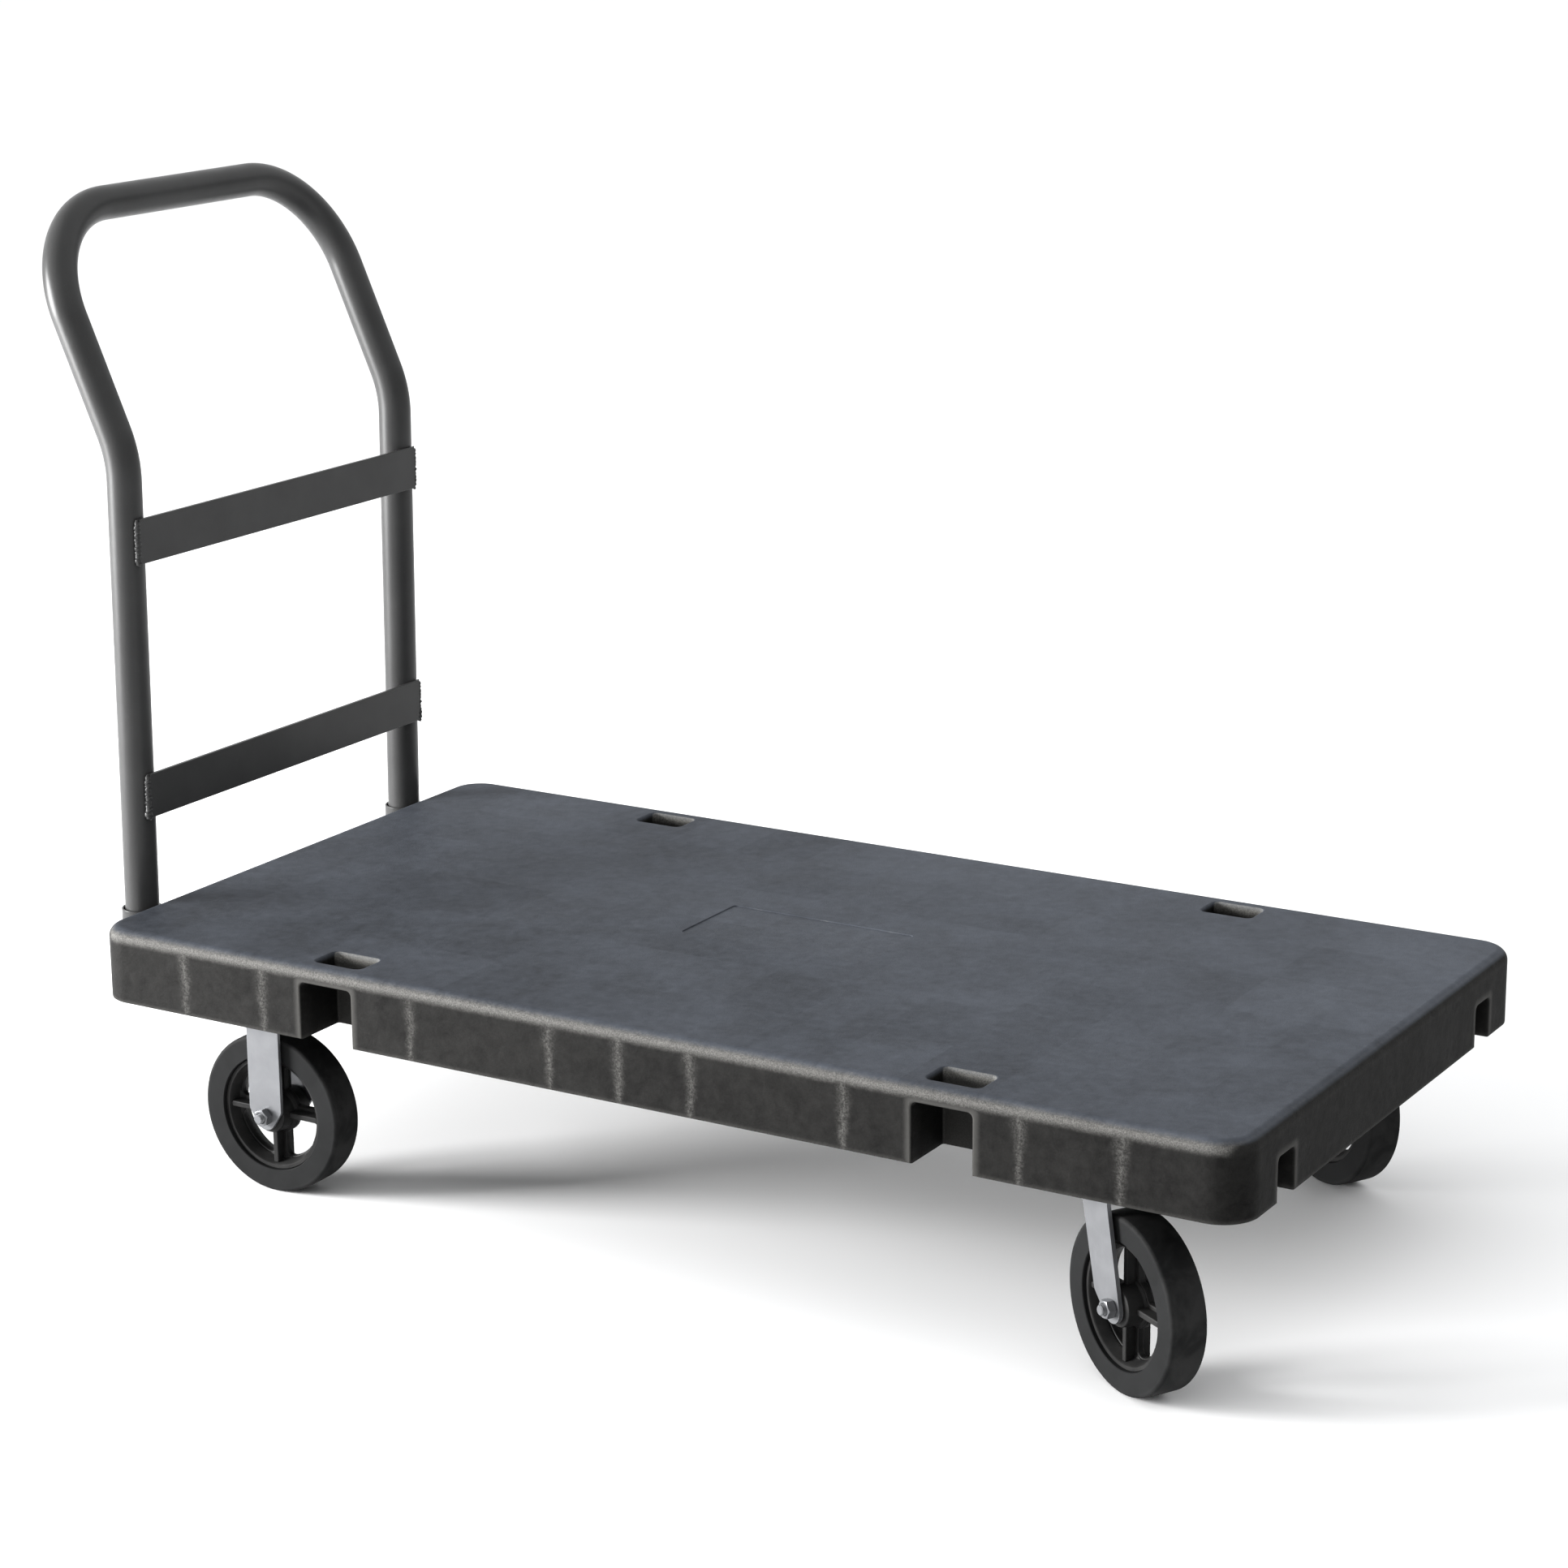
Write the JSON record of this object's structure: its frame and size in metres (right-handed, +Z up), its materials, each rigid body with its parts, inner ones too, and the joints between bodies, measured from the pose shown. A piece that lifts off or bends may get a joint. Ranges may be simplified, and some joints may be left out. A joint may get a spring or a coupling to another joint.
{
  "type": "platform cart",
  "caption": "Platform cart: moulded ribbed plastic deck, lift-out leaning steel tube handle in end sockets, spoked rubber-tread wheels in rigid and swivel casters.",
  "frame": {"origin": "on the floor, under the middle of the whole cart's box", "axes": "+X from the handle towards the free end, +Y across the deck, +Z up"},
  "size_m": [1.688, 0.8154, 1.182],
  "materials": {
    "deck_plastic": "moulded structural foam, slate grey with worn paler edges",
    "grey_paint": "semi-gloss grey paint on steel tube and flat bar",
    "zinc_steel": "bright zinc plate",
    "black_core": "black moulded wheel core",
    "tread_rubber": "black rubber tread"
  },
  "bodies": {
    "deck": {"deck": "deck_plastic", "socket_tube_left": "grey_paint", "socket_strap_left": "grey_paint", "socket_pin_left": "zinc_steel", "socket_bolt_left_1": "zinc_steel", "socket_bolt_left_2": "zinc_steel", "rigid_fork_left": "zinc_steel", "axle_bolt_rigid_left": "zinc_steel", "axle_nut_rigid_left": "zinc_steel", "rigid_plate_bolt_left_1": "zinc_steel", "rigid_plate_bolt_left_2": "zinc_steel", "rigid_plate_bolt_left_3": "zinc_steel", "rigid_plate_bolt_left_4": "zinc_steel", "swivel_plate_left": "zinc_steel", "swivel_race_left": "zinc_steel", "kingpin_left": "zinc_steel", "swivel_plate_bolt_left_1": "zinc_steel", "swivel_plate_bolt_left_2": "zinc_steel", "swivel_plate_bolt_left_3": "zinc_steel", "swivel_plate_bolt_left_4": "zinc_steel", "socket_tube_right": "grey_paint", "socket_strap_right": "grey_paint", "socket_pin_right": "zinc_steel", "socket_bolt_right_1": "zinc_steel", "socket_bolt_right_2": "zinc_steel", "rigid_fork_right": "zinc_steel", "axle_bolt_rigid_right": "zinc_steel", "axle_nut_rigid_right": "zinc_steel", "rigid_plate_bolt_right_1": "zinc_steel", "rigid_plate_bolt_right_2": "zinc_steel", "rigid_plate_bolt_right_3": "zinc_steel", "rigid_plate_bolt_right_4": "zinc_steel", "swivel_plate_right": "zinc_steel", "swivel_race_right": "zinc_steel", "kingpin_right": "zinc_steel", "swivel_plate_bolt_right_1": "zinc_steel", "swivel_plate_bolt_right_2": "zinc_steel", "swivel_plate_bolt_right_3": "zinc_steel", "swivel_plate_bolt_right_4": "zinc_steel"},
    "handle": {"handle_tube": "grey_paint", "crossbar_upper": "grey_paint", "crossbar_lower": "grey_paint"},
    "swivel_left": {"swivel_yoke_left": "zinc_steel", "axle_bolt_swivel_left": "zinc_steel", "axle_nut_swivel_left": "zinc_steel"},
    "swivel_right": {"swivel_yoke_right": "zinc_steel", "axle_bolt_swivel_right": "zinc_steel", "axle_nut_swivel_right": "zinc_steel"},
    "wheel_rigid_left": {"tread_rigid_left": "tread_rubber", "wheel_core_rigid_left": "black_core", "wheel_bearing_rigid_left": "zinc_steel"},
    "wheel_rigid_right": {"tread_rigid_right": "tread_rubber", "wheel_core_rigid_right": "black_core", "wheel_bearing_rigid_right": "zinc_steel"},
    "wheel_swivel_left": {"tread_swivel_left": "tread_rubber", "wheel_core_swivel_left": "black_core", "wheel_bearing_swivel_left": "zinc_steel"},
    "wheel_swivel_right": {"tread_swivel_right": "tread_rubber", "wheel_core_swivel_right": "black_core", "wheel_bearing_swivel_right": "zinc_steel"}
  },
  "joints": [
    {"name": "handle_lift", "type": "slide", "parent": "deck", "child": "handle", "axis": [0.0148, 0, 0.9999], "range_m": [0, 0.08]},
    {"name": "caster_swivel_left", "type": "hinge", "parent": "deck", "child": "swivel_left", "pos_m": [0.67102, 0.321, 0.22], "axis": [0, 0, 1], "continuous": true},
    {"name": "caster_swivel_right", "type": "hinge", "parent": "deck", "child": "swivel_right", "pos_m": [0.67102, -0.321, 0.22], "axis": [0, 0, 1], "continuous": true},
    {"name": "wheel_spin_rigid_left", "type": "hinge", "parent": "deck", "child": "wheel_rigid_left", "pos_m": [-0.46198, 0.318, 0.1], "axis": [0, 1, 0], "continuous": true},
    {"name": "wheel_spin_rigid_right", "type": "hinge", "parent": "deck", "child": "wheel_rigid_right", "pos_m": [-0.46198, -0.318, 0.1], "axis": [0, 1, 0], "continuous": true},
    {"name": "wheel_spin_swivel_left", "type": "hinge", "parent": "swivel_left", "child": "wheel_swivel_left", "pos_m": [0.64086, 0.33876, 0.1], "axis": [-0.5075, -0.8616, 0], "continuous": true},
    {"name": "wheel_spin_swivel_right", "type": "hinge", "parent": "swivel_right", "child": "wheel_swivel_right", "pos_m": [0.70118, -0.33876, 0.1], "axis": [0.5075, 0.8616, 0], "continuous": true}
  ]
}
